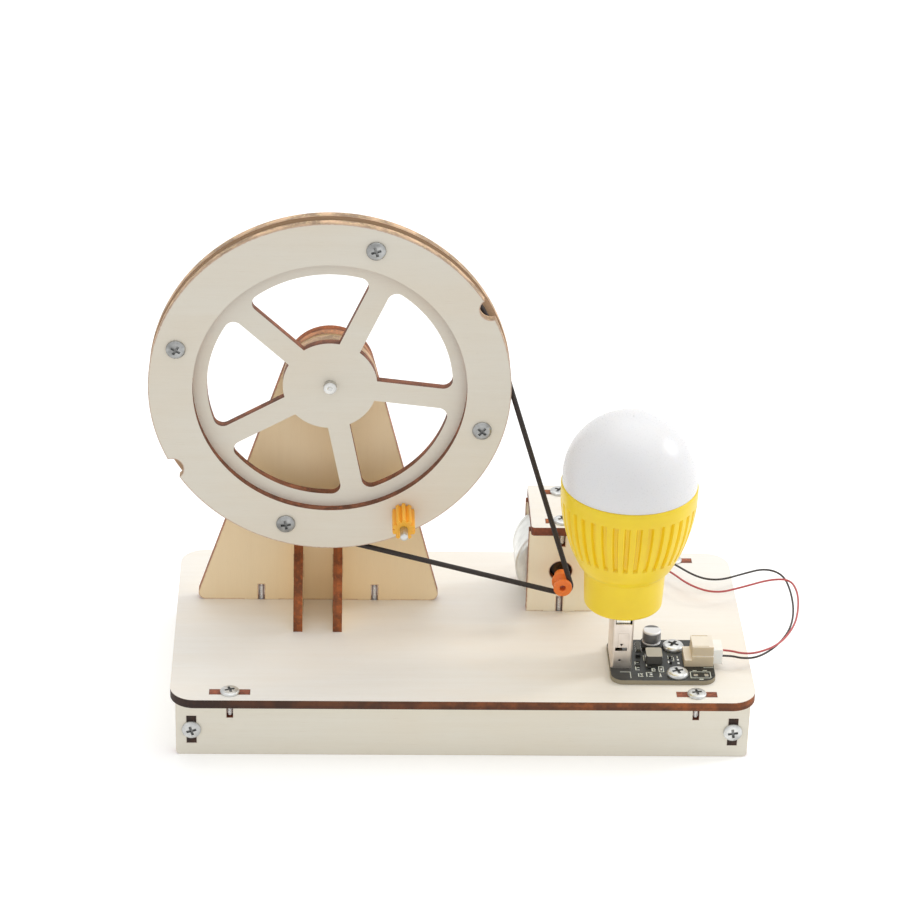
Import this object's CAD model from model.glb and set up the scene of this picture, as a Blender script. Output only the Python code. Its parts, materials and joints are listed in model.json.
import json
import math
from contextlib import contextmanager

import bmesh
import bpy
from bpy.props import FloatProperty, FloatVectorProperty, PointerProperty
from mathutils import Matrix, Vector

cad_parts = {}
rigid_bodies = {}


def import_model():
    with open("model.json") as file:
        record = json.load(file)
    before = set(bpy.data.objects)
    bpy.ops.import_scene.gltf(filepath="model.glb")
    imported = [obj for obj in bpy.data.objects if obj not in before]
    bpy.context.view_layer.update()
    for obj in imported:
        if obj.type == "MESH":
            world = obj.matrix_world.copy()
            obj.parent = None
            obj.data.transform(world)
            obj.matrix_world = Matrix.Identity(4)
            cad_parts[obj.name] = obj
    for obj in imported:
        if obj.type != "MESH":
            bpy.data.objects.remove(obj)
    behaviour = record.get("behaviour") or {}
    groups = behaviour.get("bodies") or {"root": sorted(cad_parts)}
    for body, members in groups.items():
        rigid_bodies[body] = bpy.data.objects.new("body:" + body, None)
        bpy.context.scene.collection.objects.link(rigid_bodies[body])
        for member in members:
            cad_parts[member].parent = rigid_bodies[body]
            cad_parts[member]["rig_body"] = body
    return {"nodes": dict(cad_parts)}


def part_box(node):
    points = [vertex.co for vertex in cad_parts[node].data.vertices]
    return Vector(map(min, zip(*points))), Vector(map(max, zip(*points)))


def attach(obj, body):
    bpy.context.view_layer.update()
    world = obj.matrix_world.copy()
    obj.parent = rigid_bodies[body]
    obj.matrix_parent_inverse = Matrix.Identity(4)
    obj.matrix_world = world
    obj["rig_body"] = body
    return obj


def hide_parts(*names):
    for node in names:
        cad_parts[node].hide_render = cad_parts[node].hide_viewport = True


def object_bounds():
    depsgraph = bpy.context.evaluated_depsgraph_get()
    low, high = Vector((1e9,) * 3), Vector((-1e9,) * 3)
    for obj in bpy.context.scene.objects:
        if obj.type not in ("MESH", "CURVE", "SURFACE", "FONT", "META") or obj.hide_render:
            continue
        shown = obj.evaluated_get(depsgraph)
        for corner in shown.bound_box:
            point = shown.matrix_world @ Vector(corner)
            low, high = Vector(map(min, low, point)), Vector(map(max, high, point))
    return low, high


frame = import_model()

bl_info = {
    "name": "Generator Model",
    "version": (1, 0, 0),
    "blender": (4, 5, 0),
    "location": "3D View > Sidebar > Generator",
    "description": "Dresses a hand-crank generator kit: plywood, wheel, motor, converter board and lamp",
    "category": "Object",
}

MM = 0.001
ORIGIN = Vector((0, 0, 0))
# Vertices that lie nearer than this, in metres, are one
WELD = 1e-6
# A face looks along an axis when its normal does to this share
SQUARE_ON = 0.9
# The inner cuts of the wheel's layers lie within this distance of the axle, in metres
INNER_CUTS = 0.051

# The whole CAD box, before any piece is dressed
cad_low, cad_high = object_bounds()


def length_size(name, description, default):
    return FloatProperty(name=name, description=description, default=default,
                         min=0.0, unit="LENGTH", subtype="DISTANCE", precision=5)


def colour(name, description, red, green, blue):
    """A colour that a user picks as it shows on the screen."""
    return FloatVectorProperty(name=name, description=description, size=3, min=0.0, max=1.0,
                               subtype="COLOR_GAMMA", default=(red, green, blue))


class GeneratorSizes(bpy.types.PropertyGroup):
    wire_diameter: length_size("Wire diameter", "Outer diameter of both wires", 0.00068)
    scorch_width: length_size("Scorch width", "How far the laser browns a face", 0.0005)
    moulded_edge: length_size("Moulded edge", "Rounding of the wire plug's edges", 0.00018)
    rib_depth: length_size("Rib depth", "Depth of the grooves round the lamp", 0.0009)
    thread_depth: length_size("Thread depth", "Height of a screw's thread over its core", 0.0003)


class GeneratorColours(bpy.types.PropertyGroup):
    deck_veneer: colour("Deck veneer", "Face of the base plate and stand top", 0.965, 0.955, 0.93)
    wheel_veneer: colour("Wheel veneer", "Face of the wheel's layers", 0.905, 0.882, 0.83)
    panel_veneer: colour("Panel veneer", "Face of the box's panels", 0.935, 0.915, 0.86)
    upright_veneer: colour("Upright veneer", "Face of the tower", 0.97, 0.885, 0.735)
    stand_veneer: colour("Stand veneer", "Face of the motor stand's plates", 1.0, 0.965, 0.875)
    flank_veneer: colour("Flank veneer", "Smoked face of the rim's rear", 0.80, 0.67, 0.54)
    deck_char: colour("Deck char", "Cut edges of the base plate", 0.21, 0.115, 0.06)
    upright_char: colour("Upright char", "Cut edges of tower and stand", 0.66, 0.36, 0.16)
    tab_char: colour("Tab char", "Cut edges of the long panels' tabs", 0.66, 0.38, 0.28)
    cap_char: colour("Cap char", "Cut edges of the stand's top plate", 0.56, 0.3, 0.2)
    spoke_char: colour("Spoke char", "Cut edges of the spokes", 0.6, 0.38, 0.27)
    rim_char: colour("Rim char", "Cut edges of the wheel", 0.9, 0.75, 0.61)
    disc_char: colour("Disc char", "Cut edges of the bearing disc", 0.80, 0.56, 0.40)
    scorch: colour("Scorch", "Burnt line along a cut", 0.7, 0.5, 0.38)
    zinc: colour("Zinc", "Plating of the screws", 0.88, 0.885, 0.88)
    steel: colour("Steel", "Axle, collar, washer and pins", 0.86, 0.86, 0.85)
    nickel: colour("Nickel", "Motor can and lamp plug", 0.95, 0.95, 0.93)
    copper: colour("Copper", "Windings, commutator and brushes", 0.80, 0.45, 0.27)
    pinion: colour("Pinion", "Crank pinion", 1.0, 0.72, 0.22)
    pulley: colour("Pulley", "Pulley on the motor", 1.0, 0.52, 0.19)
    socket: colour("Socket", "Warm plating of the upright socket", 0.9, 0.86, 0.82)
    rubber: colour("Rubber", "Drive belt", 0.17, 0.14, 0.13)
    lamp_yellow: colour("Lamp yellow", "Ribbed lamp housing", 1.0, 0.85, 0.15)
    lamp_milk: colour("Lamp milk", "Lamp dome", 0.93, 0.925, 0.925)
    board_mask: colour("Board mask", "Solder mask of the board", 0.17, 0.18, 0.17)
    board_core: colour("Board core", "Cut edge of the board", 0.6, 0.56, 0.47)
    silk: colour("Silk", "Printed lines on the board", 0.88, 0.90, 0.86)
    chip_black: colour("Chip black", "Moulded chips", 0.13, 0.13, 0.12)
    ferrite: colour("Ferrite", "Inductor and magnets", 0.42, 0.41, 0.38)
    header_beige: colour("Header beige", "Wire connector", 0.945, 0.915, 0.865)
    header_side: colour("Header side", "Connector's front and left walls", 0.86, 0.79, 0.67)
    plug_white: colour("Plug white", "Wire plug", 0.97, 0.97, 0.95)
    wire_red: colour("Wire red", "Insulation of the red wire", 0.74, 0.33, 0.33)
    wire_black: colour("Wire black", "Insulation of the black wire", 0.2, 0.17, 0.155)


class GeneratorStage(bpy.types.PropertyGroup):
    sky: FloatProperty(name="Sky", description="Strength of the soft light all round",
                       default=0.72, min=0.0)
    key: FloatProperty(name="Key lamp", description="Power of the window lamp on the right",
                       default=4.0, min=0.0, unit="POWER")
    fill: FloatProperty(name="Fill lamp", description="Power of the large lamp overhead",
                        default=5.6, min=0.0, unit="POWER")


# Modelling helpers. Sizes and offsets are in millimetres, places in metres.

def deselect_all():
    for thing in bpy.context.selected_objects:
        thing.select_set(False)


def make_active(piece):
    deselect_all()
    bpy.context.view_layer.objects.active = piece
    piece.select_set(True)


@contextmanager
def editing(piece, kind="FACE"):
    """Edit mode with nothing selected. Gives the mesh, so that code can select by place."""
    make_active(piece)
    bpy.ops.object.mode_set(mode="EDIT")
    bpy.ops.mesh.select_mode(type=kind)
    bpy.ops.mesh.select_all(action="DESELECT")
    yield bmesh.from_edit_mesh(piece.data)
    bpy.ops.object.mode_set(mode="OBJECT")


def choose(elements, test):
    """Select the faces, edges or vertices that pass a test."""
    chosen = [element for element in elements if test(element)]
    if not chosen:
        raise RuntimeError("nothing to select")
    for element in chosen:
        element.select_set(True)


def faces_up(face):
    return face.normal.z > SQUARE_ON


def apply_modifier(piece, kind, **settings):
    make_active(piece)
    modifier = piece.modifiers.new(kind.lower(), kind)
    for key, value in settings.items():
        setattr(modifier, key, value)
    bpy.ops.object.modifier_apply(modifier=modifier.name)
    return piece


def bake_place(piece):
    """Bake the place and turn of the active piece into its mesh."""
    bpy.ops.object.transform_apply(location=True, rotation=True, scale=True)
    return piece


def round_edges(piece, width, segments=2, angle=35):
    return apply_modifier(piece, "BEVEL", width=width * MM, segments=segments,
                          limit_method="ANGLE", angle_limit=math.radians(angle))


def round_uprights(piece, width, segments, least, behind=-1.0):
    """Round the upright edges that are longer than the least length and lie behind a place."""
    with editing(piece, "EDGE") as mesh:
        choose(mesh.edges, lambda edge: edge.verts[0].co.y > behind
               and abs((edge.verts[0].co - edge.verts[1].co).z) > least * MM)
        bpy.ops.mesh.bevel(offset=width * MM, segments=segments)


def box_piece(place, low, high):
    """A box between two corners, given from a place."""
    low, high = Vector(low) * MM, Vector(high) * MM
    deselect_all()
    bpy.ops.mesh.primitive_cube_add(size=1, location=place + (low + high) / 2, scale=high - low)
    return bake_place(bpy.context.object)


def cut_away(piece, cutter):
    """Take one shape away from another, and remove the first."""
    apply_modifier(piece, "BOOLEAN", object=cutter, operation="DIFFERENCE", solver="EXACT")
    bpy.data.objects.remove(cutter)


def set_down(piece, place=ORIGIN, turn=(0, 0, 0)):
    """Turn and move a piece that was made about the origin, and bake that into its mesh."""
    make_active(piece)
    piece.rotation_euler = [math.radians(angle) for angle in turn]
    piece.location = place
    return bake_place(piece)


def soften(piece, angle):
    make_active(piece)
    bpy.ops.object.shade_smooth_by_angle(angle=math.radians(angle))
    return apply_modifier(piece, "WEIGHTED_NORMAL", keep_sharp=True)


def joined(pieces):
    make_active(pieces[0])
    for piece in pieces:
        piece.select_set(True)
    bpy.ops.object.join()
    return bpy.context.object


def turned(profile, steps=64, closed=False):
    """Turn a profile of radius and height about the upright axis. A closed profile ends where
    it starts; an open one gets a flat cap at both ends."""
    (radius, height), *rest = [*profile, profile[0]] if closed else profile
    deselect_all()
    bpy.ops.mesh.primitive_circle_add(vertices=steps, radius=radius * MM,
                                      location=(0, 0, height * MM), fill_type="NOTHING")
    piece = bake_place(bpy.context.object)
    with editing(piece, "VERT"):
        bpy.ops.mesh.select_all(action="SELECT")
        if not closed:
            bpy.ops.mesh.edge_face_add()
        for next_radius, next_height in rest:
            move = {"value": (0, 0, (next_height - height) * MM)}
            bpy.ops.mesh.extrude_region_move(TRANSFORM_OT_translate=move)
            share = next_radius / radius
            bpy.ops.transform.resize(value=(share, share, 1), center_override=(0, 0, next_height * MM))
            radius, height = next_radius, next_height
        bpy.ops.mesh.select_all(action="SELECT")
        bpy.ops.mesh.remove_doubles(threshold=WELD)
        bpy.ops.mesh.normals_make_consistent(inside=False)
    return piece


def arc_points(centre, radius, start, stop, count):
    """Points of a quarter round or any other arc of a profile, in degrees."""
    points = []
    for index in range(count + 1):
        angle = math.radians(start + (stop - start) * index / count)
        points.append((centre[0] + radius * math.cos(angle), centre[1] + radius * math.sin(angle)))
    return points


def measured(node):
    """A node's lowest corner, and its width, depth and height."""
    low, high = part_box(node)
    return low, (high - low) / MM


def centre_of(node):
    low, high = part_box(node)
    return (low + high) / 2


def turned_along_y(node, profile, steps, closed=True):
    """A turned piece along the Y axis, that starts at its node's front."""
    middle = centre_of(node)
    middle.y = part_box(node)[0].y
    return set_down(turned(profile, steps, closed), middle, (-90, 0, 0))


def solid_copy(node):
    """A copy of a CAD node's mesh with its triangles merged into whole flat faces."""
    piece = bpy.data.objects.new(node, frame["nodes"][node].data.copy())
    bpy.context.scene.collection.objects.link(piece)
    piece.data.materials.clear()
    with editing(piece, "VERT"):
        if piece.data.has_custom_normals:
            bpy.ops.mesh.customdata_custom_splitnormals_clear()
        bpy.ops.mesh.select_all(action="SELECT")
        bpy.ops.mesh.remove_doubles(threshold=WELD)
        bpy.ops.mesh.dissolve_limited(angle_limit=math.radians(0.4))
    return piece


def mark_faces(piece, index, test):
    """Give the faces that pass a test another one of the piece's finishes."""
    for face in piece.data.polygons:
        if test(face):
            face.material_index = index


def dress(piece, name, finishes, node=None, angle=32):
    """Smooth and name a piece, give it its finishes, and let it ride for the node that it
    stands for, or else on the stand."""
    soften(piece, angle)
    piece.name = piece.data.name = name
    for finish in finishes if isinstance(finishes, (list, tuple)) else [finishes]:
        piece.data.materials.append(finish)
    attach(piece, frame["nodes"][node]["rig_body"] if node else "stand")
    if node:
        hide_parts(node)


def dress_copy(node, name, finish, width, angle=32):
    """A node's own shape with rounded edges."""
    dress(round_edges(solid_copy(node), width), name, finish, node, angle)


def paint_node(node, finish):
    """Give a CAD node that stays its finish."""
    materials = frame["nodes"][node].data.materials
    materials.clear()
    materials.append(finish)


# Finishes

def tone(shown, *shares):
    """A screen colour whose channels are scaled by one share, or by one each."""
    shares = shares * 3 if len(shares) == 1 else shares
    return tuple(min(1.0, channel * share) for channel, share in zip(shown, shares))


def shade(shown, *shares):
    """A screen colour, scaled in the same way, as the shader wants it."""
    scaled = tone(shown, *(shares or (1.0,)))
    return (*(c / 12.92 if c <= 0.04045 else ((c + 0.055) / 1.055) ** 2.4 for c in scaled), 1.0)


class Nodes:
    """Puts nodes into the tree of a material or of the sky."""

    def __init__(self, tree):
        self.tree = tree

    def add(self, kind, inputs=None, **settings):
        node = self.tree.nodes.new(kind)
        for key, value in settings.items():
            setattr(node, key, value)
        for key, value in (inputs or {}).items():
            self.feed(node.inputs[key], value)
        return node

    def feed(self, socket, value):
        if isinstance(value, bpy.types.NodeSocket):
            self.tree.links.new(value, socket)
        else:
            socket.default_value = value

    def calc(self, operation, first, second=0.0, third=0.0):
        node = self.add("ShaderNodeMath", {0: first, 1: second, 2: third}, operation=operation)
        return node.outputs[0]

    def spread(self, value, low, high, to_low=0.0, to_high=1.0, smooth=False):
        """Stretch a range of a value to another, without going past its ends."""
        node = self.add("ShaderNodeMapRange", {"Value": value, "From Min": low, "From Max": high,
                                               "To Min": to_low, "To Max": to_high}, clamp=True)
        if smooth:
            node.interpolation_type = "SMOOTHSTEP"
        return node.outputs["Result"]

    def seen(self):
        """1 for what the camera sees straight, in a reflection or through glass."""
        paths = self.add("ShaderNodeLightPath").outputs
        seen = self.calc("MAXIMUM", paths["Is Camera Ray"], paths["Is Glossy Ray"])
        return self.calc("MAXIMUM", seen, paths["Is Transmission Ray"])


class Finish(Nodes):
    """A procedural material that is put together step by step."""

    def __init__(self, name, roughness, metallic=0.0):
        self.material = bpy.data.materials.new(name)
        self.material.use_nodes = True
        super().__init__(self.material.node_tree)
        self.set("Roughness", roughness)
        self.set("Metallic", metallic)
        self.place = self.add("ShaderNodeTexCoord").outputs["Object"]
        outputs = self.add("ShaderNodeSeparateXYZ", {"Vector": self.place}).outputs
        self.axes = dict(zip("XYZ", outputs))

    def set(self, name, value):
        self.feed(self.tree.nodes["Principled BSDF"].inputs[name], value)

    def scaled(self, scale, vector):
        """The pattern's own coordinates, in repeats for each metre along each axis."""
        mapping = self.add("ShaderNodeMapping", {"Vector": vector, "Scale": scale})
        return mapping.outputs["Vector"]

    def noise(self, scale, detail=3.0, roughness=0.55, vector=None, distortion=0.0):
        """A cloudy pattern, with one scale or with one for each axis."""
        vector = vector or self.place
        if isinstance(scale, tuple):
            vector = self.scaled(scale, vector)
            scale = 1.0
        node = self.add("ShaderNodeTexNoise", {"Vector": vector, "Scale": scale, "Detail": detail,
                                               "Roughness": roughness, "Distortion": distortion})
        return node.outputs["Fac"]

    def mix(self, share, first, second):
        node = self.add("ShaderNodeMix", data_type="RGBA", clamp_factor=True)
        for key, value in (("Factor", share), (6, first), (7, second)):
            self.feed(node.inputs[key], value)
        return node.outputs[2]

    def layer(self, base, over, pattern, low, high, most=1.0):
        """Lay a colour over another one, where a pattern rises from low to high."""
        return self.mix(self.spread(pattern, low, high, 0.0, most), base, over)

    def done(self, base, relief, distance, strength, fine=None, smooth=0.0, rough=0.0):
        """Connect the colour, the relief and, from a fine pattern, the roughness."""
        self.set("Base Color", base)
        if fine:
            self.set("Roughness", self.spread(fine, 0.3, 0.7, smooth, rough))
        node = self.add("ShaderNodeBump", {"Height": relief, "Distance": distance, "Strength": strength})
        self.set("Normal", node.outputs["Normal"])
        return self.material


def veneer_face(name, shown, scorch, normal, grain, seed):
    """A laser-cut sheet's pale face: faint clouds, a fine grain, a few pores, and a burnt line
    along its cuts."""
    finish = Finish(name, 0.6)
    across = next(letter for letter in "XYZ" if letter not in (normal, grain))
    flat = finish.add("ShaderNodeCombineXYZ", {"X": finish.axes[grain], "Y": finish.axes[across],
                                               "Z": float(seed)}).outputs["Vector"]
    cloud = finish.noise((14.0, 40.0, 1.0), vector=flat)
    streak = finish.noise((16.0, 420.0, 1.0), vector=flat, distortion=0.2)
    fibre = finish.noise((110.0, 2600.0, 1.0), 2.0, 0.6, flat)
    pore = finish.noise((200.0, 3600.0, 1.0), 1.0, 0.4, flat)
    brown = shade(shown, 0.84, 0.76, 0.66)
    base = finish.layer(shade(shown, 1.008), shade(shown, 0.993, 0.988, 0.98), streak, 0.25, 0.8)
    base = finish.layer(base, shade(shown, 1.0, 0.98, 0.955), cloud, 0.42, 0.68, 0.75)
    base = finish.layer(base, brown, fibre, 0.52, 0.78, 0.05)
    base = finish.layer(base, brown, pore, 0.68, 0.76, 0.12)
    burnt = finish.add("ShaderNodeAttribute", attribute_name="scorch").outputs["Fac"]
    ragged = finish.spread(finish.noise(900.0, 2.0), 0.3, 0.7, 0.6, 1.15)
    burnt = finish.calc("MULTIPLY", burnt, ragged)
    base = finish.mix(finish.spread(burnt, 0.0, 1.0, 0.0, 0.8, smooth=True), base, shade(scorch))
    relief = finish.calc("ADD", fibre, finish.calc("MULTIPLY", pore, -0.6))
    return finish.done(base, relief, 0.00002, 0.2, fibre, 0.52, 0.66)


def charred_edge(name, shown, far, node, normal, seed):
    """A laser-cut edge: soft burnt blotches, darker towards its underside, with thin lines
    where the plies are glued. The colour runs over to another one at the far end of X."""
    finish = Finish(name, 0.7)
    low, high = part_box(node)
    moved = finish.add("ShaderNodeVectorMath", {0: finish.place, 1: (seed, seed * 0.37, 0.0)},
                       operation="ADD").outputs["Vector"]
    patch = finish.noise((170.0, 260.0, 170.0), vector=moved)
    speck = finish.noise(900.0, 3.0, 0.6)
    index = "XYZ".index(normal)
    level = finish.spread(finish.axes[normal], low[index], high[index])
    wobble = finish.calc("MULTIPLY_ADD", finish.noise(500.0, 2.0), 0.10, -0.05)
    level = finish.calc("ADD", level, wobble)
    glue = finish.calc("PINGPONG", finish.calc("MULTIPLY_ADD", level, 3.0, 1.0), 1.0)
    glue = finish.spread(glue, 0.0, 0.16, 1.0, 0.0, smooth=True)
    along = finish.spread(finish.axes["X"], low.x, high.x)
    base = finish.mix(along, shade(shown), shade(far))
    blotch = finish.mix(along, shade(shown, 0.7), shade(far, 0.7))
    base = finish.layer(base, blotch, patch, 0.38, 0.6)
    base = finish.layer(base, shade(shown, 1.3, 1.22, 1.1), speck, 0.5, 0.72, 0.5)
    under = finish.spread(level, 0.15, 0.55, 0.35, 0.0, smooth=True)
    for share in (under, finish.calc("MULTIPLY", glue, 0.3)):
        base = finish.mix(share, base, shade(shown, 0.55))
    return finish.done(base, speck, 0.00005, 0.5)


def metal(name, shown, roughness, grain=900.0, wear=0.12, marks=0.00001, metallic=1.0):
    """Plated or plain metal with faint scratches and an uneven polish."""
    finish = Finish(name, roughness, metallic)
    cloud = finish.noise(260.0)
    scratch = finish.noise(grain, 2.0, 0.7)
    base = finish.layer(shade(shown), shade(shown, 1 - wear), cloud, 0.35, 0.7)
    mixed = finish.calc("MULTIPLY_ADD", scratch, 0.5, finish.calc("MULTIPLY", cloud, 0.5))
    return finish.done(base, scratch, marks, 0.6, mixed, roughness * 0.75, roughness * 1.3)


def plastic(name, shown, roughness=0.4, depth=0.0, grain=2500.0, relief=0.000008, flow=0.035):
    """A moulded plastic with a faint flow pattern and a fine texture. Depth lets light in."""
    finish = Finish(name, roughness)
    fine = finish.noise(grain, 2.0)
    base = finish.layer(shade(shown, 1 + flow / 2), shade(shown, 1 - flow), finish.noise(70.0), 0.35, 0.7)
    if depth:
        finish.set("Subsurface Weight", depth)
        finish.set("Subsurface Scale", 0.002)
        finish.set("Subsurface Radius", (1.0, 0.85, 0.7))
    return finish.done(base, fine, relief, 0.5, fine, roughness * 0.85, roughness * 1.15)


# Plywood

# Each sheet: its node, the axis through its thickness, the axis of its grain, the names of its
# veneer and char colours, and how much its faces are scorched along the cuts
SHEETS = (
    ("base_top_plate", "Z", "X", "deck_veneer", "deck_char", 0.25),
    ("base_front_panel", "Y", "X", "panel_veneer", "tab_char", 0.3),
    ("base_back_panel", "Y", "X", "panel_veneer", "tab_char", 0.3),
    ("base_left_panel", "X", "Y", "panel_veneer", "deck_char", 0.3),
    ("base_right_panel", "X", "Y", "panel_veneer", "deck_char", 0.3),
    ("tower_plate", "Y", "Z", "upright_veneer", "upright_char", 0.9),
    ("gusset_left", "X", "Z", "upright_veneer", "upright_char", 0.6),
    ("gusset_right", "X", "Z", "upright_veneer", "upright_char", 0.6),
    ("tower_bearing_disc", "Y", "X", "upright_veneer", "disc_char", 0.9),
    ("wheel_front_ring", "Y", "X", "wheel_veneer", "rim_char", 0.9),
    ("wheel_spoke_disc", "Y", "X", "wheel_veneer", "rim_char", 0.5),
    ("wheel_back_ring", "Y", "Z", "flank_veneer", "rim_char", 0.9),
    ("wheel_hub_disc", "Y", "X", "wheel_veneer", "rim_char", 0.3),
    ("stand_front_plate", "Y", "Z", "stand_veneer", "upright_char", 0.9),
    ("stand_back_plate", "Y", "Z", "stand_veneer", "upright_char", 0.9),
    ("stand_top_plate", "Z", "X", "deck_veneer", "cap_char", 0.3),
)
# The base plate's edge is paler at its far end
FAR_CHAR = {"base_top_plate": "upright_char"}


def cut_sheet(node, normal, scorch_width, scorched, wheel_axis):
    """A sheet whose flat faces have a strip along every cut, for the laser's burnt line. The
    wheel's layers are scorched along the rim only, and their inner cuts have a third finish."""
    piece = solid_copy(node)
    index = "XYZ".index(normal)
    with editing(piece) as mesh:
        choose(mesh.faces, lambda face: abs(face.normal[index]) > SQUARE_ON)
        bpy.ops.mesh.inset(thickness=scorch_width, depth=0, use_boundary=True, use_even_offset=True)
    burnt = piece.data.attributes.new("scorch", "FLOAT", "POINT")
    for face in piece.data.polygons:
        if abs(face.normal[index]) > SQUARE_ON:
            continue
        inner = wheel_axis and (face.center.xz - wheel_axis).length < INNER_CUTS
        face.material_index = 2 if inner else 1
        for corner in () if inner else face.vertices:
            burnt.data[corner].value = scorched
    return piece


class GENERATOR_OT_cut_plywood(bpy.types.Operator):
    """Cut every plywood sheet, with its grain, scorched lines and charred edges"""

    bl_idname = "generator.cut_plywood"
    bl_label = "Cut the plywood"

    def execute(self, context):
        colours = context.scene.generator_colours
        for seed, (node, normal, grain, veneer, char, scorched) in enumerate(SHEETS):
            far = FAR_CHAR.get(node, char)
            finishes = [veneer_face(node + "_veneer", getattr(colours, veneer), colours.scorch,
                                    normal, grain, seed),
                        charred_edge(node + "_char", getattr(colours, char),
                                     getattr(colours, far), node, normal, seed)]
            axis = None
            if node.endswith(("ring", "spoke_disc")):
                axis = centre_of("wheel_axle").xz
                finishes.append(charred_edge(node + "_inner_char", colours.spoke_char,
                                             colours.spoke_char, node, normal, seed))
            piece = cut_sheet(node, normal, context.scene.generator_sizes.scorch_width, scorched, axis)
            if node == "wheel_back_ring":
                finishes.append(veneer_face(node + "_rear", colours.wheel_veneer,
                                            colours.scorch, normal, grain, seed))
                mark_faces(piece, 3, lambda face: face.normal.y > SQUARE_ON)
            dress(piece, node + "_sheet", finishes, node)
        return {"FINISHED"}


# Screws

def screw_piece(head_radius, head_height, shank_radius, thread, finishes):
    """A pan-head screw that stands on its head's underside, with a thread, a blunt tip and a
    cross recess. Its three finishes are the head's, the recess's and the shank's."""
    length = 8.3
    pitch = 2.4 * thread
    core = shank_radius - thread
    profile = [(0.05, -length), (0.6 * shank_radius, -length), (core, 0.4 * shank_radius - length)]
    level = 0.5 * shank_radius - length
    while level < -pitch:
        profile += [(core, level), (shank_radius, level + 0.4 * pitch),
                    (shank_radius, level + 0.6 * pitch)]
        level += pitch
    profile += [(core, -0.02), (head_radius * 0.985, 0.0), (head_radius, 0.1)]
    for share, rise in ((1.0, 0.3), (0.985, 0.48), (0.94, 0.66), (0.86, 0.81), (0.74, 0.92),
                        (0.55, 0.98), (0.2, 1.0)):
        profile.append((head_radius * share, head_height * rise))
    piece = turned(profile, 40)
    reach, half = 0.6 * head_radius, 0.17 * head_radius
    for turn in (0, 90):
        arm = box_piece(ORIGIN, (-reach, -half, 0.42 * head_height), (reach, half, head_height + 1))
        with editing(arm) as mesh:
            choose(mesh.faces, lambda face: face.normal.z < -SQUARE_ON)
            bpy.ops.transform.resize(value=(0.8, 0.7, 1))
        cut_away(piece, set_down(arm, turn=(0, 0, turn)))
    for finish in finishes:
        piece.data.materials.append(finish)
    mark_faces(piece, 1, lambda face: face.center.xy.length < reach * MM
               and 0 < face.center.z < 0.9 * head_height * MM)
    mark_faces(piece, 2, lambda face: face.center.z < 0)
    return piece


def screw_group(name, master, node, spots):
    """Copies of one screw, each turned to its place, with its recess at an angle of its own."""
    made = []
    first, step = 17, 41
    for index, (place, turn) in enumerate(spots):
        twin = master.copy()
        twin.data = master.data.copy()
        bpy.context.scene.collection.objects.link(twin)
        set_down(twin, turn=(0, 0, first + step * index))
        made.append(set_down(twin, place, turn))
    bpy.data.objects.remove(master)
    dress(joined(made), name, (), node, 38)


def upright_spots(node, inset, level, turn=0):
    """Places inside the corners of a node's box, or in one row where it is as narrow as a head."""
    rows = []
    narrow = 2.2 * inset
    for low, high in zip(*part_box(node)):
        rows.append([(low + high) / 2] if high - low < narrow else [low + inset, high - inset])
    return [((x, y, level), (turn, 0, 0)) for x in rows[0] for y in rows[1]]


class GENERATOR_OT_drive_screws(bpy.types.Operator):
    """Turn all the screws, with thread and cross recess"""

    bl_idname = "generator.drive_screws"
    bl_label = "Drive the screws"

    # The radius of the head, its height and the radius of the shank
    small_screw = (3.1, 1.05, 1.0)
    large_screw = (3.5, 1.5, 1.4)
    # The circle of the wheel's four screws, and the angles of the first and the last
    ring_radius = 50.5
    ring_angles = (74, 344)

    def execute(self, context):
        thread = context.scene.generator_sizes.thread_depth / MM
        shown = context.scene.generator_colours.zinc
        zinc = metal("zinc_plating", shown, 0.36, wear=0.2, marks=0.00002, metallic=0.75)
        worn = metal("zinc_worn", tone(shown, 0.82), 0.3, wear=0.3, marks=0.00002, metallic=0.85)
        recess = metal("zinc_recess", tone(shown, 0.7), 0.5, wear=0.35, metallic=0.7)
        shank = metal("zinc_shank", tone(shown, 1.1), 0.45, wear=0.06, metallic=0.2)

        def drive(name, node, spots, plating=zinc, shape=self.small_screw):
            screw_group(name, screw_piece(*shape, thread, (plating, recess, shank)), node, spots)

        inset = self.small_screw[0] * MM
        deck_foot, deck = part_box("base_top_plate")
        drive("deck_screws", "base_top_screws", upright_spots("base_top_screws", inset, deck.z))
        low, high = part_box("base_side_screws")
        front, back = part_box("base_front_panel")[0].y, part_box("base_back_panel")[1].y
        drive("panel_screws", "base_side_screws",
              [((x, y, (low.z + high.z) / 2), (turn, 0, 0))
               for x in (low.x + inset, high.x - inset) for y, turn in ((front, 90), (back, -90))])
        for name, node, level, turn in (
                ("tower_foot_screws", "tower_screws", deck_foot.z, 180),
                ("stand_foot_screws", "stand_base_screws", deck_foot.z, 180),
                ("stand_cap_screws", "stand_top_screws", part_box("stand_top_plate")[1].z, 0)):
            drive(name, node, upright_spots(node, inset, level, turn))
        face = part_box("wheel_front_ring")[0].y
        middle = centre_of("wheel_axle").xz / MM
        ring = arc_points(middle, self.ring_radius, *self.ring_angles, 3)
        drive("ring_screws", "wheel_screws",
              [((x * MM, face, z * MM), (90, 0, 0)) for x, z in ring], worn)
        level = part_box("circuit_board")[1].z
        spots = upright_spots("board_screws", self.large_screw[0] * MM, level)
        drive("board_fixing_screws", "board_screws", spots, shape=self.large_screw)
        return {"FINISHED"}


# Wires

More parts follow.
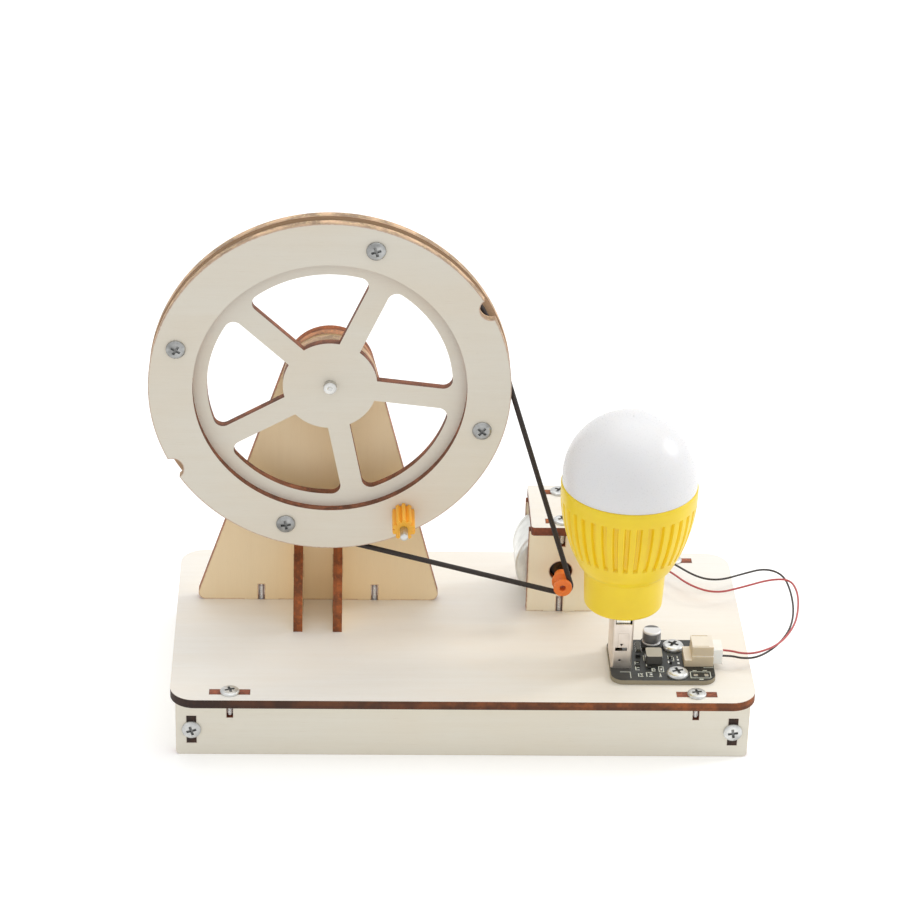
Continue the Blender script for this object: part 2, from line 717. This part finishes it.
# The routes from the motor's terminals to the plug, from the base's middle
BLACK_ROUTE = (
    (39.0, 33.1, 33.05), (39.0, 37.5, 32.6), (42.3, 41.9, 31.2), (49.0, 45.2, 29.2),
    (57.6, 45.6, 27.8), (66.0, 41.4, 27.2), (73.0, 33.2, 27.0), (80.9, 23.2, 27.0),
    (88.0, 21.7, 27.0), (96.0, 26.3, 26.8), (104.3, 30.9, 26.5), (110.2, 27.4, 26.2),
    (111.5, 16.0, 26.0), (110.8, 2.5, 26.0), (107.7, -9.6, 26.1), (101.7, -20.0, 26.3),
    (95.2, -26.6, 26.6), (90.2, -26.9, 26.5), (87.0, -25.3, 26.45), (83.8, -25.25, 26.4),
)
RED_ROUTE = (
    (28.0, 33.1, 33.05), (28.0, 37.5, 32.2), (31.8, 41.4, 29.8), (38.6, 43.0, 27.2),
    (47.8, 42.2, 26.0), (57.2, 39.6, 26.2), (65.4, 35.0, 26.8), (71.7, 27.7, 27.0),
    (77.6, 17.6, 27.2), (85.8, 12.2, 27.5), (95.4, 16.2, 27.8), (104.6, 20.8, 28.0),
    (111.5, 20.8, 28.2), (113.1, 12.4, 28.3), (111.9, 1.0, 28.3), (109.1, -10.0, 28.2),
    (102.9, -20.8, 28.0), (95.0, -25.6, 27.6), (90.0, -25.0, 27.2), (87.0, -23.05, 27.0),
    (83.8, -22.75, 27.0),
)


def wire_piece(name, route, diameter):
    """One smooth wire along a route's points."""
    line = bpy.data.curves.new(name, "CURVE")
    line.dimensions = "3D"
    spline = line.splines.new("NURBS")
    spline.points.add(len(route) - 1)
    middle = centre_of("base_top_plate").x
    for point, (x, y, z) in zip(spline.points, route):
        point.co = (middle + x * MM, y * MM, z * MM, 1)
    spline.order_u = 3
    spline.use_endpoint_u = True
    spline.resolution_u = 10
    line.bevel_depth = diameter / 2
    line.bevel_resolution = 4
    line.use_fill_caps = True
    piece = bpy.data.objects.new(name, line)
    bpy.context.scene.collection.objects.link(piece)
    return piece


class GENERATOR_OT_lay_wires(bpy.types.Operator):
    """Lay the red and the black wire from the motor to the plug"""

    bl_idname = "generator.lay_wires"
    bl_label = "Lay the wires"

    def execute(self, context):
        diameter = context.scene.generator_sizes.wire_diameter
        rows = (("wire_red", "red_wire", RED_ROUTE, 0.1669),
                ("wire_black", "black_wire", BLACK_ROUTE, 0.1602))
        for node, name, route, length in rows:
            piece = wire_piece(name, route, diameter)
            shown = getattr(context.scene.generator_colours, node)
            piece.data.materials.append(plastic(name + "_skin", shown, 0.42))
            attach(piece, "stand")
            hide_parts(node)
        return {"FINISHED"}


# Wheel and crank metal

class GENERATOR_OT_turn_axle(bpy.types.Operator):
    """Turn the axle, washer, collar and crank pin, and round the pinion's teeth"""

    bl_idname = "generator.turn_axle"
    bl_label = "Turn the axle and crank"

    def execute(self, context):
        colours = context.scene.generator_colours
        steel = metal("bright_steel", colours.steel, 0.3, (60.0, 3000.0, 60.0), 0.18)

        def rod(name, node, profile, closed=False):
            piece = turned_along_y(node, profile, 48, closed)
            dress(piece, name, steel, node, 35)

        width, length, _ = measured("wheel_axle")[1]
        radius = width / 2
        rod("axle_rod", "wheel_axle",
            [(0.15, 0.55), (0.5, 0.32), (0.85, 0.0), (radius - 0.3, 0.0), (radius - 0.08, 0.1),
             (radius, 0.3), (radius, length - 0.35), (radius - 0.35, length)])

        width, length, _ = measured("crank_pin")[1]
        radius = width / 2
        rod("crank_pin_rod", "crank_pin",
            [(radius * 0.3, 0.0), (radius * 0.7, 0.06), (radius * 0.93, 0.22), (radius, 0.5),
             (radius, length - 0.2), (radius - 0.2, length)])

        inner, edge = 2.1, 0.25
        for node, name in (("thrust_washer", "axle_washer"), ("axle_collar", "axle_stop_ring")):
            width, length, _ = measured(node)[1]
            outer = width / 2
            profile = [(inner, edge), (inner + edge, 0), (outer - edge, 0), (outer, edge),
                       (outer, length - edge), (outer - edge, length), (inner + edge, length),
                       (inner, length - edge)]
            rod(name, node, profile, closed=True)

        orange = plastic("pinion_orange", colours.pinion, 0.42, 0.15)
        dress_copy("crank_pinion", "crank_grip", orange, 0.14, 40)
        return {"FINISHED"}


# Motor and belt drive

class GENERATOR_OT_build_motor(bpy.types.Operator):
    """Build the motor's can, cap and terminals, and give its inner pieces their finishes"""

    bl_idname = "generator.build_motor"
    bl_label = "Build the motor"

    def execute(self, context):
        colours = context.scene.generator_colours
        low, (_, depth, _) = measured("motor_can")
        boss = 1.0
        outline = [(2.3, 0.0), (2.9, 0.0), (3.1, 0.2), (3.1, boss - 0.3), (3.4, boss),
                   (5.5, boss), (13.2, boss), *arc_points((13.4, boss + 1.5), 1.5, -90, 0, 6)[1:],
                   (14.9, depth - 2.6), (14.72, depth - 2.3), (14.72, depth - 1.9),
                   (14.9, depth - 1.6), (14.9, depth - 0.15), (14.75, depth), (14.25, depth),
                   (14.1, depth - 0.15), (14.1, boss + 1.0), (13.9, boss + 0.8),
                   (2.3, boss + 0.8)]
        can = turned_along_y("motor_can", outline, 96)
        middle = centre_of("motor_can").xz
        mark_faces(can, 1, lambda face: (face.center.xz - middle).length < 5.5 * MM
                   and face.center.y < low.y + 1.5 * MM)
        nickel = metal("can_nickel", tone(colours.nickel, 0.93), 0.34, 300.0, 0.07)
        dull = plastic("can_front_black", (0.14, 0.12, 0.11), 0.6)
        dress(can, "motor_shell", [nickel, dull], "motor_can", 30)

        white = plastic("end_cap_white", colours.plug_white, 0.45)
        dress_copy("motor_end_cap", "motor_back_cap", white, 0.2)
        tin = metal("tinned_metal", (0.84, 0.84, 0.83), 0.32, wear=0.2)
        dress_copy("motor_terminals", "motor_tabs", tin, 0.08)

        copper = metal("motor_copper", colours.copper, 0.3, (3000.0, 60.0, 3000.0), 0.15)
        steel = metal("shaft_steel", colours.steel, 0.22, (60.0, 2500.0, 60.0), 0.12)
        iron = metal("core_iron", (0.45, 0.45, 0.46), 0.4, (60.0, 2000.0, 60.0), 0.2, 0.00003)
        magnet = plastic("magnet_ferrite", tone(colours.ferrite, 0.6), 0.65, relief=0.00003)
        brass = metal("bearing_brass", (0.36, 0.27, 0.18), 0.45)
        for node, finish in (("motor_shaft", steel), ("armature_core", iron),
                             ("armature_windings", copper), ("commutator", copper),
                             ("motor_brushes", copper), ("motor_bearings", brass),
                             ("motor_magnets", magnet)):
            paint_node(node, finish)
        return {"FINISHED"}


class GENERATOR_OT_build_belt_drive(bpy.types.Operator):
    """Turn the small pulley and give the belt its rubber"""

    bl_idname = "generator.build_belt_drive"
    bl_label = "Build the belt drive"

    def execute(self, context):
        colours = context.scene.generator_colours
        length = measured("drive_pulley")[1].y
        flange, floor, middle, hub = 3.05, 1.6, 3.35, 2.3
        outline = [(1.0, 0.25), (1.2, 0.0), (flange - 0.25, 0.0), (flange - 0.07, 0.07),
                   (flange, 0.25), (flange, 1.15), (flange - 0.12, 1.35), (floor + 0.15, 1.9),
                   (floor, 2.2), (floor, 2.75), (floor + 0.2, 3.1), (middle - 0.25, 3.85),
                   (middle, 4.1), (middle, 5.05), (middle - 0.25, 5.25), (hub + 0.12, 5.25),
                   (hub, 5.4), (hub, length - 0.2), (hub - 0.2, length), (1.0, length)]
        orange = plastic("pulley_orange", colours.pulley, 0.4, 0.15)
        dress(turned_along_y("drive_pulley", outline, 64), "motor_pulley",
              orange, "drive_pulley", 35)
        paint_node("drive_belt", plastic("belt_rubber", colours.rubber, 0.62,
                                         grain=1800.0, relief=0.00003))
        return {"FINISHED"}


# Converter board

# Printed lines: the middle of each, from the board's middle, its length and its width
SILK_LINES = (
    (12.2, -7.07, 6.45, 0.22), (11.9, -10.7, 6.45, 0.22), (8.85, -8.9, 0.22, 3.6),
    (15.25, -8.9, 0.22, 3.6), (10.4, -6.3, 1.3, 0.3), (13.7, -6.2, 1.4, 0.3),
    (12.1, -11.5, 1.3, 0.5), (15.0, -4.5, 3.2, 0.22), (-12.1, -7.35, 3.4, 0.22),
    (-10.5, -9.2, 0.22, 3.6), (-8.5, -3.7, 0.3, 5.2), (-7.7, -1.6, 0.8, 0.3),
    (-7.7, -3.1, 0.8, 0.3), (-7.7, -4.6, 0.8, 0.3), (-7.7, -6.1, 0.8, 0.3),
    (-7.9, -9.2, 0.3, 2.0), (-7.0, -8.4, 1.1, 0.3), (-7.0, -10.0, 1.1, 0.3),
    (-4.9, -4.0, 0.3, 2.6), (-4.3, -4.7, 0.8, 0.3), (-5.3, -8.8, 0.3, 2.6),
    (-4.2, -7.6, 1.6, 0.3), (-4.0, -9.9, 1.4, 0.3), (-3.3, -6.0, 0.3, 1.8),
    (-2.7, -5.2, 0.8, 0.3), (-2.7, -6.7, 0.8, 0.3), (-0.4, -4.0, 1.5, 0.25),
    (-0.4, -7.2, 1.5, 0.25), (-1.1, -5.6, 0.25, 3.2), (0.35, -5.6, 0.25, 3.2),
    (-0.9, -8.7, 0.3, 1.2), (-0.9, -10.1, 0.9, 0.3), (2.5, 1.6, 0.3, 2.0),
    (3.6, 2.3, 0.9, 0.3), (4.2, 0.7, 0.3, 1.8), (3.9, -0.5, 0.9, 0.3),
    (5.5, 1.8, 0.3, 1.4), (-5.45, 1.2, 0.25, 3.2),
)

# Bare tinned pads: middle, length and width
PADS = (
    (10.5, -9.1, 1.3, 1.2), (13.9, -9.1, 1.3, 1.5), (-6.9, -9.2, 0.6, 0.6),
    (-3.9, -8.7, 0.9, 1.0), (-2.5, -6.0, 0.7, 0.6), (-0.4, -5.6, 0.6, 1.4), (2.5, -1.2, 0.6, 1.4),
    (5.6, 0.1, 0.7, 0.9), (5.6, -1.9, 0.7, 1.1), (-0.9, -9.4, 0.6, 0.6), (3.3, 1.2, 0.6, 0.8),
)


def board_top():
    """The middle of the board's upper face."""
    top = centre_of("circuit_board")
    top.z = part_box("circuit_board")[1].z
    return top


def board_boxes(rows, height):
    """Low boxes on the board, joined, each given by its middle, its length and its width."""
    boxes = []
    for x, y, length, width in rows:
        boxes.append(box_piece(board_top(), (x - length / 2, y - width / 2, 0),
                               (x + length / 2, y + width / 2, height)))
    return joined(boxes)


def solder_mask(shown):
    """Dark solder mask, with copper tracks that show through it as faint raised bands."""
    finish = Finish("board_mask", 0.34)
    raised = finish.add("ShaderNodeTexBrick", {
        "Vector": finish.scaled((330.0, 330.0, 330.0), finish.place), "Scale": 1.0,
        "Mortar Size": 0.09, "Mortar Smooth": 0.25, "Brick Width": 1.9, "Row Height": 0.62},
        offset=0.37).outputs["Fac"]
    dust = finish.noise(700.0, 4.0)
    base = finish.layer(shade(shown), shade(shown, 0.72), raised, 0.2, 0.8, 0.5)
    base = finish.layer(base, shade(shown, 1.7), dust, 0.55, 0.75, 0.25)
    return finish.done(base, raised, 0.00003, -0.7, dust, 0.26, 0.44)


def aluminium(low, high, middle):
    """A brushed can, pale round its foot and on its top, with a dark half-moon there."""
    finish = Finish("capacitor_aluminium", 0.45, 0.6)
    brushed = finish.noise((2200.0, 2200.0, 80.0), 2.0)
    height = finish.axes["Z"]
    # In metres: the lid's thickness, how far back the half-moon starts, and both pale bands
    lid, half_moon, crown, foot = 0.0001, 0.0013, 0.0006, 0.0008
    mark = finish.calc("MULTIPLY", finish.calc("GREATER_THAN", height, high.z - lid),
                       finish.calc("GREATER_THAN", finish.axes["Y"], middle.y + half_moon))
    side = finish.mix(brushed, shade((0.54, 0.54, 0.55)), shade((0.62, 0.62, 0.62)))
    top = finish.mix(brushed, shade((0.86, 0.86, 0.86)), shade((0.92, 0.92, 0.92)))
    pale = finish.calc("MAXIMUM", finish.calc("GREATER_THAN", height, high.z - crown),
                       finish.calc("LESS_THAN", height, low.z + foot))
    base = finish.mix(mark, finish.mix(pale, side, top), shade((0.45, 0.45, 0.45)))
    return finish.done(base, brushed, 0.000012, 0.6, brushed, 0.38, 0.52)


def build_capacitor(black):
    spot = board_top() + Vector((-2.35, 9.3, 0)) * MM
    foot = solid_copy("capacitor_base")
    round_uprights(foot, 1.1, 1, 0.5, behind=spot.y)
    dress(round_edges(foot, 0.08, 2, 30), "capacitor_foot", black, "capacitor_base")
    low, (width, _, height) = measured("capacitor_can")
    radius = width / 2
    outline = [(radius - 0.35, 0.0), (radius - 0.1, 0.1), (radius, 0.35), (radius, 0.6),
               (radius - 0.12, 0.8), (radius - 0.32, 0.95), (radius - 0.32, 1.15),
               (radius - 0.1, 1.35), (radius, 1.5), (radius, height - 0.5),
               *arc_points((radius - 0.5, height - 0.5), 0.5, 0, 80, 5)[1:],
               (radius - 0.75, height - 0.06), (0.6, height - 0.04), (0.05, height - 0.04)]
    can = set_down(turned(outline), (spot.x, spot.y, low.z))
    finish = aluminium(*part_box("capacitor_can"), spot)
    dress(can, "capacitor_shell", finish, "capacitor_can", 40)


def build_inductor(shown, tin):
    low, (width, depth, height) = measured("inductor")
    block = box_piece(low, (0.25, 0, 0), (width - 0.25, depth, height))
    round_uprights(block, 0.7, 3, 1.0)
    with editing(block) as mesh:
        choose(mesh.faces, faces_up)
        bpy.ops.mesh.inset(thickness=0.28 * MM)
        bpy.ops.transform.translate(value=(0, 0, -0.06 * MM))
    round_edges(block, 0.1, 2, 30)
    mark_faces(block, 1, faces_up)
    ferrite = plastic("inductor_ferrite", tone(shown, 0.8), 0.6, 0.0, 2600.0, 0.00004)
    crown = plastic("inductor_crown", tone(shown, 1.75), 0.6, 0.0, 2600.0, 0.00002)
    dress(block, "inductor_block", [ferrite, crown], "inductor")
    clips = [box_piece(low, (x, depth / 2 - 1.1, 0), (x + 0.3, depth / 2 + 1.1, 1.7))
             for x in (0, width - 0.3)]
    dress(round_edges(joined(clips), 0.08), "inductor_clips", tin)


def build_converter(shown, tin):
    """The converter's chip, with four legs on each side."""
    low, (width, depth, height) = measured("converter_chip")
    body = box_piece(low, (0.35, 0, 0.1), (width - 0.35, depth, height))
    with editing(body) as mesh:
        choose(mesh.faces, faces_up)
        bpy.ops.transform.resize(value=(0.86, 0.94, 1))
    grey = plastic("converter_grey", tone(shown, 2.6), 0.45)
    dress(round_edges(body, 0.06), "converter_body", grey, "converter_chip")
    legs = []
    count = 4
    # A leg's flat foot and its upright: near and far from the side, low and high
    parts = ((0, 0.3, 0, 0.14), (0.22, 0.42, 0.05, 0.6))
    for index in range(count):
        y = (index + 0.5) * depth / count
        for side in (0, width):
            for near, far, foot, top in parts:
                left, right = sorted((abs(side - near), abs(side - far)))
                legs.append(box_piece(low, (left, y - 0.2, foot), (right, y + 0.2, top)))
    dress(round_edges(joined(legs), 0.04), "converter_legs", tin)


class GENERATOR_OT_build_board(bpy.types.Operator):
    """Build the converter board with its print, pads, chips, inductor and capacitor"""

    bl_idname = "generator.build_board"
    bl_label = "Build the converter board"

    def execute(self, context):
        colours = context.scene.generator_colours
        tin = metal("board_tin", (0.88, 0.88, 0.86), 0.3, wear=0.15)
        black = plastic("chip_moulding", colours.chip_black, 0.5, 0.0, 4000.0, 0.00001)
        core = plastic("board_core", colours.board_core, 0.7, 0.0, 3000.0, 0.00004)
        board = round_edges(solid_copy("circuit_board"), 0.08, 1)
        mark_faces(board, 1, lambda face: abs(face.normal.z) <= SQUARE_ON)
        dress(board, "board_plate", [solder_mask(colours.board_mask), core],
              "circuit_board")
        silk = plastic("board_silk", colours.silk, 0.6)
        lines = round_edges(board_boxes(SILK_LINES, 0.03), 0.01, 1)
        dress(lines, "board_print", silk)
        pads = round_edges(board_boxes(PADS, 0.12), 0.05)
        dress(pads, "board_pads", tin)
        build_capacitor(black)
        build_inductor(colours.ferrite, tin)
        build_converter(colours.chip_black, tin)
        dress_copy("board_small_parts", "board_chips", black, 0.08)
        return {"FINISHED"}


class GENERATOR_OT_build_socket(bpy.types.Operator):
    """Fold the upright socket's shell, with its springs and its notched lip"""

    bl_idname = "generator.build_socket"
    bl_label = "Build the lamp's socket"

    wall = 0.5
    # Each cut in the front wall: its left and right, foot and top, and its depth
    cuts = (
        (-2.5, 2.8, 16.4, 19.0, 1.0),
        (-2.28, 1.5, 6.55, 7.8, 1.0),
        (-1.56, -1.44, 7.6, 13.0, 0.15),
        (1.87, 1.99, 6.9, 13.0, 0.15),
        (-1.5, 1.93, 13.0, 13.1, 0.08),
    )
    # The place, the radius and the corners of each round or three-cornered hole
    holes = ((-0.3, 8.9, 0.62, 3), (-0.68, 3.0, 0.4, 16))

    def execute(self, context):
        colours = context.scene.generator_colours
        low, (width, depth, height) = measured("usb_socket_shell")
        shell = box_piece(low, (0, 0, 0), (width, depth, height))
        round_uprights(shell, 0.9, 5, 5.0)
        hollow = box_piece(low, (self.wall, self.wall, -1),
                           (width - self.wall, depth - self.wall, height + 1))
        round_uprights(hollow, 0.5, 4, 5.0)
        cut_away(shell, hollow)
        front = low + Vector((width / 2, 0, 0)) * MM
        for left, right, foot, top, deep in self.cuts:
            cut_away(shell, box_piece(front, (left, -1, foot), (right, deep, top)))
        for x, z, radius, corners in self.holes:
            drill = set_down(turned([(radius, 0.0), (radius, 1.2)], corners), turn=(0, 0, 180))
            cut_away(shell, set_down(drill, front + Vector((x, 0.8, z)) * MM, (90, 0, 0)))
        nickel = metal("socket_nickel", colours.socket, 0.36, 400.0, 0.05)
        dress(round_edges(shell, 0.05, 1, 40), "socket_shell", nickel,
              "usb_socket_shell", 35)
        white = plastic("socket_white", colours.plug_white, 0.45)
        dress_copy("usb_socket_insulator", "socket_tongue", white, 0.12)
        gold = metal("contact_gold", (0.92, 0.76, 0.42), 0.25)
        dress_copy("usb_socket_contacts", "socket_contacts", gold, 0.04)
        return {"FINISHED"}


class GENERATOR_OT_build_connector(bpy.types.Operator):
    """Mould the beige header, its pins and the white wire plug"""

    bl_idname = "generator.build_connector"
    bl_label = "Build the wire connector"

    def execute(self, context):
        colours = context.scene.generator_colours
        edge = context.scene.generator_sizes.moulded_edge / MM
        header = solid_copy("wire_connector")
        low, (width, depth, height) = measured("wire_connector")
        # Both long walls step back over a ledge, and the top has two slits
        ledge = 3.7
        for y, reach in ((0, 0.75), (depth, 0.45)):
            cut_away(header, box_piece(low, (-1, y - reach, ledge), (width + 1, y + reach, height + 1)))
        for y in (1.3, depth - 0.95):
            cut_away(header, box_piece(low, (width - 6.6, y, height - 0.3),
                                       (width - 1.5, y + 0.3, height + 1)))
        round_edges(header, 0.5 * edge)
        mark_faces(header, 1, lambda face: face.normal.y < -0.7 or face.normal.x < -0.7)
        beige = plastic("header_beige", colours.header_beige, 0.42, 0.15)
        shaded = plastic("header_side", colours.header_side, 0.5, 0.15)
        dress(header, "wire_header", [beige, shaded], "wire_connector")
        tin = metal("pin_tin", (0.86, 0.85, 0.80), 0.28)
        dress_copy("connector_pins", "header_pins", tin, 0.08)
        white = plastic("plug_white", colours.plug_white, 0.38, 0.2)
        dress_copy("wire_plug", "white_plug", white, edge)
        return {"FINISHED"}


# Lamp

class GENERATOR_OT_build_lamp(bpy.types.Operator):
    """Mould the ribbed housing and the milky dome, and fold the lamp's plug"""

    bl_idname = "generator.build_lamp"
    bl_label = "Build the lamp"

    # The ribs, the mesh's columns for each of them, and which of those are sunk
    ribs = 36
    columns = 10
    sunk = (3, 4, 5, 6)
    # Where the grooves start and end, over the housing's foot
    grooves = (20.6, 38.4)
    hole = 7.2
    # The housing's outer profile, between its neck and its rim
    flare = (
        (15.17, 15.1), (15.66, 16.06), (16.36, 17.5), (16.82, 18.5), (17.47, 20.0),
        (17.66, 20.5), (17.84, 20.9), (18.06, 21.5), (18.77, 23.5), (19.54, 26.0),
        (20.3, 29.0), (20.88, 32.0), (21.3, 35.0), (21.48, 37.0), (21.55, 38.1),
        (21.57, 38.5), (21.59, 39.0), (21.62, 39.8),
    )

    def execute(self, context):
        colours = context.scene.generator_colours
        foot = centre_of("lamp_housing")
        foot.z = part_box("lamp_housing")[0].z
        yellow = plastic("lamp_yellow", colours.lamp_yellow, 0.34, 0.25)
        housing = set_down(self.housing(context.scene.generator_sizes.rib_depth), foot)
        dress(housing, "lamp_bell", yellow, "lamp_housing", 50)

        milk = plastic("lamp_milk", colours.lamp_milk, 0.3, 0.35, relief=0.000002, flow=0.004)
        spigot, radius, straight = 1.5, 21.3, 2.2
        outline = [(19.0, -spigot), (20.1, -spigot), (20.1, 0.0), (radius - 0.15, 0.0),
                   (radius, 0.15), *arc_points((0, straight), radius, 0, 89.4, 26),
                   *arc_points((0, straight), radius - 1.2, 89.4, 0, 18)]
        dome = turned([(max(r, 0.2), z) for r, z in outline], 96, closed=True)
        foot.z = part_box("lamp_dome")[0].z + spigot * MM
        dress(set_down(dome, foot), "lamp_cap", milk, "lamp_dome", 40)

        shell = solid_copy("lamp_plug_shell")
        low, (width, depth, _) = measured("lamp_plug_shell")
        for y in (depth / 2 - 2.9, depth / 2 + 2.9):
            cut_away(shell, box_piece(low, (-1, y - 1.2, 3.6), (width + 1, y + 1.2, 6.0)))
        nickel = metal("plug_nickel", colours.nickel, 0.28, 400.0, 0.08)
        dress(round_edges(shell, 0.06), "plug_shell", nickel, "lamp_plug_shell")
        white = plastic("plug_tongue_white", colours.plug_white, 0.45)
        dress_copy("lamp_plug_tongue", "plug_tongue", white, 0.1)
        paint_node("lamp_board", plastic("lamp_board_white", (0.92, 0.92, 0.90), 0.4))
        paint_node("lamp_diodes", plastic("lamp_diode", (0.96, 0.88, 0.45), 0.3, 0.2))
        return {"FINISHED"}

    def housing(self, rib_depth):
        """The bell, whose grooves are sunk between the ribs."""
        outline = [(self.hole, 0.0), (11.6, 0.0), (12.2, 0.12), (12.45, 0.45), (12.52, 1.0),
                   (12.7, 5.0), (12.95, 11.7), (13.03, 12.5), (13.4, 13.1), (14.5, 14.2),
                   (14.97, 14.75), *self.flare, (21.65, 41.2), (21.65, 43.0), (21.5, 43.35),
                   (21.2, 43.5), (20.5, 43.5), (20.25, 43.3), (20.25, 40.1), (20.1, 39.9),
                   (19.0, 39.9), (18.85, 39.7), (18.85, 38.1), (18.6, 37.7), (13.9, 17.0),
                   (11.4, 13.4), (11.1, 12.2), (11.1, 1.6), (10.9, 1.4), (self.hole, 1.4)]
        piece = turned(outline, self.ribs * self.columns, closed=True)
        step = 2 * math.pi / (self.ribs * self.columns)
        start, end = self.grooves
        reach = {round(z * MM, 6): r * MM for r, z in self.flare if start < z < end}

        def in_groove(vertex):
            outer = reach.get(round(vertex.co.z, 6), 0.0)
            if abs(vertex.co.xy.length - outer) > 0.0002:
                return False
            turn = math.atan2(vertex.co.y, vertex.co.x) / step
            return round(turn) % self.columns in self.sunk

        with editing(piece, "VERT") as mesh:
            choose(mesh.verts, in_groove)
            bpy.ops.transform.shrink_fatten(value=-rib_depth)
        half = measured("lamp_plug_shell")[1] / 2 + Vector((0.1, 0.1, 0))
        floor = turned([(self.hole, 0.0), (self.hole, 1.4)], 48)
        cut_away(floor, box_piece(ORIGIN, (-half.x, -half.y, -1), (half.x, half.y, 3)))
        return joined([piece, floor])


# Stage

def place_camera(scene):
    """The photograph's viewpoint, its angles in degrees and its focal length on a sensor."""
    place = (-0.03994, -0.90123, 0.56967)
    yaw, pitch, roll = 2.47, 28.13, 1.66
    deselect_all()
    bpy.ops.object.camera_add(location=place)
    camera = bpy.context.object
    camera.name = "photo_camera"
    turn = (Matrix.Rotation(math.radians(-yaw), 4, "Z")
            @ Matrix.Rotation(math.radians(90 - pitch), 4, "X")
            @ Matrix.Rotation(math.radians(roll), 4, "Z"))
    camera.rotation_euler = turn.to_euler()
    camera.data.sensor_width = 36
    camera.data.lens = 127.9
    camera.data.clip_start = 0.05
    camera.data.clip_end = 20
    scene.camera = camera


def lay_floor():
    """A white floor that shows as plain white, apart from the object's shadow."""
    deselect_all()
    bpy.ops.mesh.primitive_plane_add(size=6, location=(0, 0, -0.00002))
    floor = bpy.context.object
    floor.name = "studio_floor"
    finish = Finish("floor_white", 0.9)
    cloud = finish.noise(3.0, 2.0)
    finish.set("Base Color", finish.mix(cloud, shade((0.98, 0.98, 0.98)), shade((0.99, 0.99, 0.985))))
    finish.set("Emission Color", (1.0, 1.0, 1.0, 1.0))
    finish.set("Emission Strength", finish.calc("MULTIPLY", finish.seen(), 0.24))
    floor.data.materials.append(finish.material)


def light_sky(scene, strength):
    scene.world = bpy.data.worlds.new("studio_sky")
    scene.world.use_nodes = True
    sky = Nodes(scene.world.node_tree)
    background = sky.tree.nodes["Background"].inputs
    sky.feed(background["Color"], (1.0, 1.0, 1.0, 1.0))
    sky.feed(background["Strength"], sky.spread(sky.seen(), 0.0, 1.0, strength, 1.0))


def hang_lamp(name, place, width, height, power):
    """A soft box that points at the middle of the object."""
    deselect_all()
    bpy.ops.object.light_add(type="AREA", location=place)
    lamp = bpy.context.object
    lamp.name = name
    lamp.data.shape = "RECTANGLE"
    lamp.data.size = width
    lamp.data.size_y = height
    lamp.data.energy = power
    target = (cad_low + cad_high) / 2
    lamp.rotation_euler = (target - Vector(place)).to_track_quat("-Z", "Y").to_euler()


class GENERATOR_OT_set_stage(bpy.types.Operator):
    """Set the camera, the pale floor and the soft studio light"""

    bl_idname = "generator.set_stage"
    bl_label = "Set the stage"

    def execute(self, context):
        stage = context.scene.generator_stage
        place_camera(context.scene)
        lay_floor()
        light_sky(context.scene, stage.sky)
        hang_lamp("window_lamp", (1.1, 0.28, 0.79), 0.24, 0.3, stage.key)
        hang_lamp("overhead_lamp", (0.1, 0.35, 1.3), 1.3, 1.3, stage.fill)
        context.scene.view_settings.view_transform = "Standard"
        return {"FINISHED"}


STEPS = (
    GENERATOR_OT_set_stage, GENERATOR_OT_lay_wires, GENERATOR_OT_cut_plywood, GENERATOR_OT_drive_screws,
    GENERATOR_OT_turn_axle, GENERATOR_OT_build_motor, GENERATOR_OT_build_belt_drive,
    GENERATOR_OT_build_board, GENERATOR_OT_build_socket, GENERATOR_OT_build_connector,
    GENERATOR_OT_build_lamp,
)


class GENERATOR_PT_panel(bpy.types.Panel):
    """Lists the steps, sizes and colours of the generator model"""

    bl_idname = "GENERATOR_PT_panel"
    bl_label = "Generator Model"
    bl_space_type = "VIEW_3D"
    bl_region_type = "UI"
    bl_category = "Generator"

    def draw(self, context):
        for step in STEPS:
            self.layout.operator(step.bl_idname)
        for group in (context.scene.generator_sizes, context.scene.generator_colours,
                      context.scene.generator_stage):
            box = self.layout.box()
            for name in group.bl_rna.properties.keys():
                if name not in ("rna_type", "name"):
                    box.prop(group, name)


CLASSES = (GeneratorSizes, GeneratorColours, GeneratorStage, *STEPS, GENERATOR_PT_panel)


def register():
    for kind in CLASSES:
        bpy.utils.register_class(kind)
    bpy.types.Scene.generator_sizes = PointerProperty(type=GeneratorSizes)
    bpy.types.Scene.generator_colours = PointerProperty(type=GeneratorColours)
    bpy.types.Scene.generator_stage = PointerProperty(type=GeneratorStage)


def unregister():
    del bpy.types.Scene.generator_stage
    del bpy.types.Scene.generator_colours
    del bpy.types.Scene.generator_sizes
    for kind in reversed(CLASSES):
        bpy.utils.unregister_class(kind)


def main():
    register()
    for step in STEPS:
        family, action = step.bl_idname.split(".")
        getattr(getattr(bpy.ops, family), action)()


if __name__ == "__main__":
    main()
